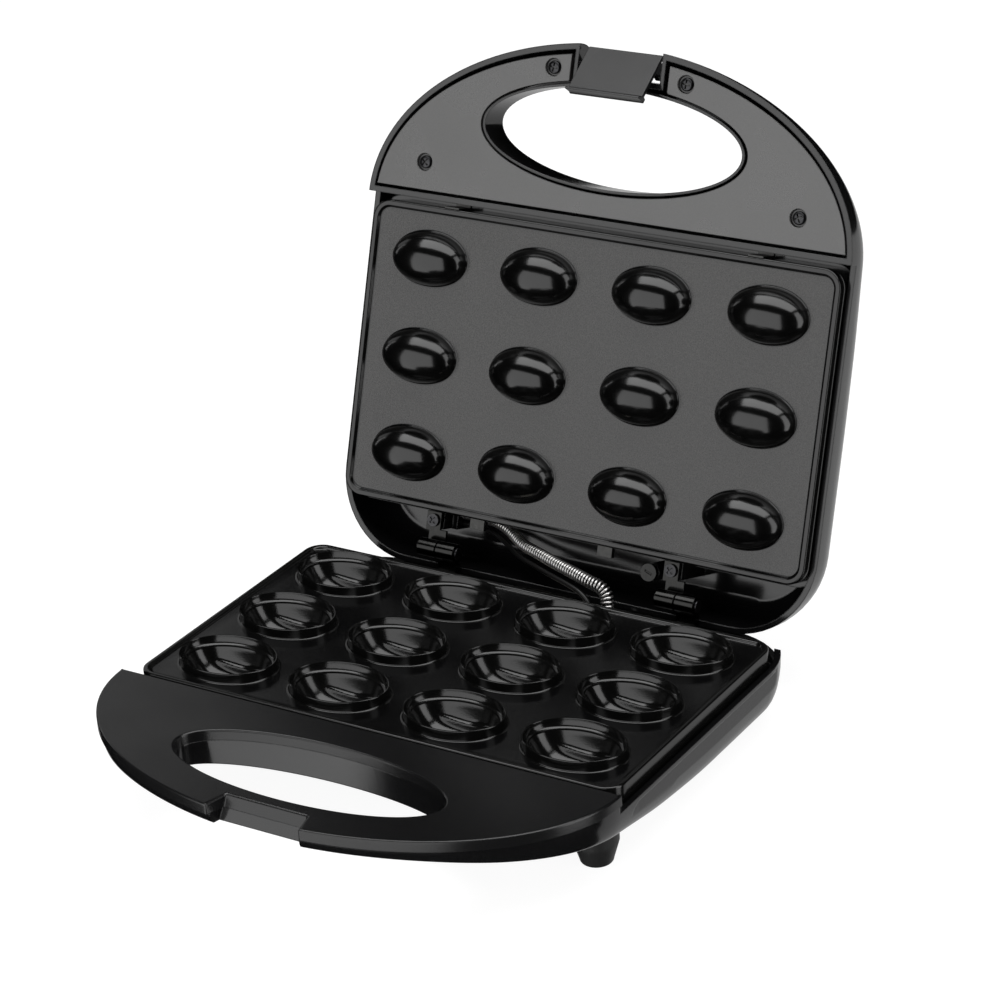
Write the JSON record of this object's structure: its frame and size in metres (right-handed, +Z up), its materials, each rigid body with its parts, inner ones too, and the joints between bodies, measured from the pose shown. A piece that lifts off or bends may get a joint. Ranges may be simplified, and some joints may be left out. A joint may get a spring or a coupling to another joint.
{
  "type": "electric nut cookie maker",
  "caption": "Countertop cooker with a hinged lid: cupped lower plate, domed upper plate, two half-round handles with hand holes and a hooked latch.",
  "frame": {"origin": "centre of the footprint of the open appliance, on the table the feet stand on", "axes": "+X to the right of someone who holds the handle, +Y from the handle towards the hinge, +Z up"},
  "size_m": [0.2298, 0.3007, 0.2421],
  "materials": {
    "shell": "glossy black, moulded",
    "handle_top": "satin dark grey",
    "handle_cover": "satin mid grey",
    "cup_plate": "dark non-stick coat, glossy in the cups",
    "dome_plate": "grey non-stick coat, glossy on the domes",
    "steel": "zinc plated",
    "hinge_steel": "nickel plated",
    "conduit": "bright wound steel",
    "heater": "heat-stained sheath",
    "reflector": "bright sheet",
    "ceramic": "off-white ceramic and phenolic",
    "rubber": "soft black",
    "lead": "black sleeve",
    "lens": "tinted red",
    "lamp": "clear bulb",
    "latch": "satin dark grey"
  },
  "bodies": {
    "base": {"base_shell": "shell", "lower_handle_cover": "handle_top", "lower_cover_screws": "steel", "lower_plate": "cup_plate", "lower_plate_screws": "steel", "lower_heater": "heater", "lower_heater_ends": "ceramic", "lower_reflector": "reflector", "thermostat": "ceramic", "thermal_fuse": "ceramic", "terminal_block": "ceramic", "cord_bushing": "rubber", "base_hinge_leaves": "hinge_steel", "base_hinge_screws": "steel", "hinge_pins": "steel", "front_feet": "rubber", "rear_feet": "rubber", "wiring_conduit": "conduit", "earth_lead": "lead"},
    "lid": {"lid_shell": "shell", "lid_handle_cover": "handle_cover", "lid_cover_screws": "steel", "upper_plate": "dome_plate", "upper_plate_tabs": "steel", "upper_heater": "heater", "upper_heater_ends": "ceramic", "upper_reflector": "reflector", "lid_hinge_leaves": "hinge_steel", "lid_hinge_screws": "steel", "earth_screw": "steel", "indicator_lenses": "lens", "indicator_lamps": "lamp", "latch_pin": "steel"},
    "latch": {"latch": "latch", "latch_spring": "steel"}
  },
  "joints": [
    {"name": "lid_hinge", "type": "hinge", "parent": "base", "child": "lid", "pos_m": [0, 0.0693, 0.0368], "axis": [1, 0, 0], "range_deg": [0, 109.2], "deforming": ["wiring_conduit", "earth_lead"]},
    {"name": "latch_pivot", "type": "hinge", "parent": "lid", "child": "latch", "pos_m": [0, 0.14556, 0.23282], "axis": [-1, 0, 0], "range_deg": [0, 51.4]}
  ],
  "couplings": [
    {"joint": "latch_pivot", "follows": "lid_hinge", "ratio": 0.47069}
  ]
}
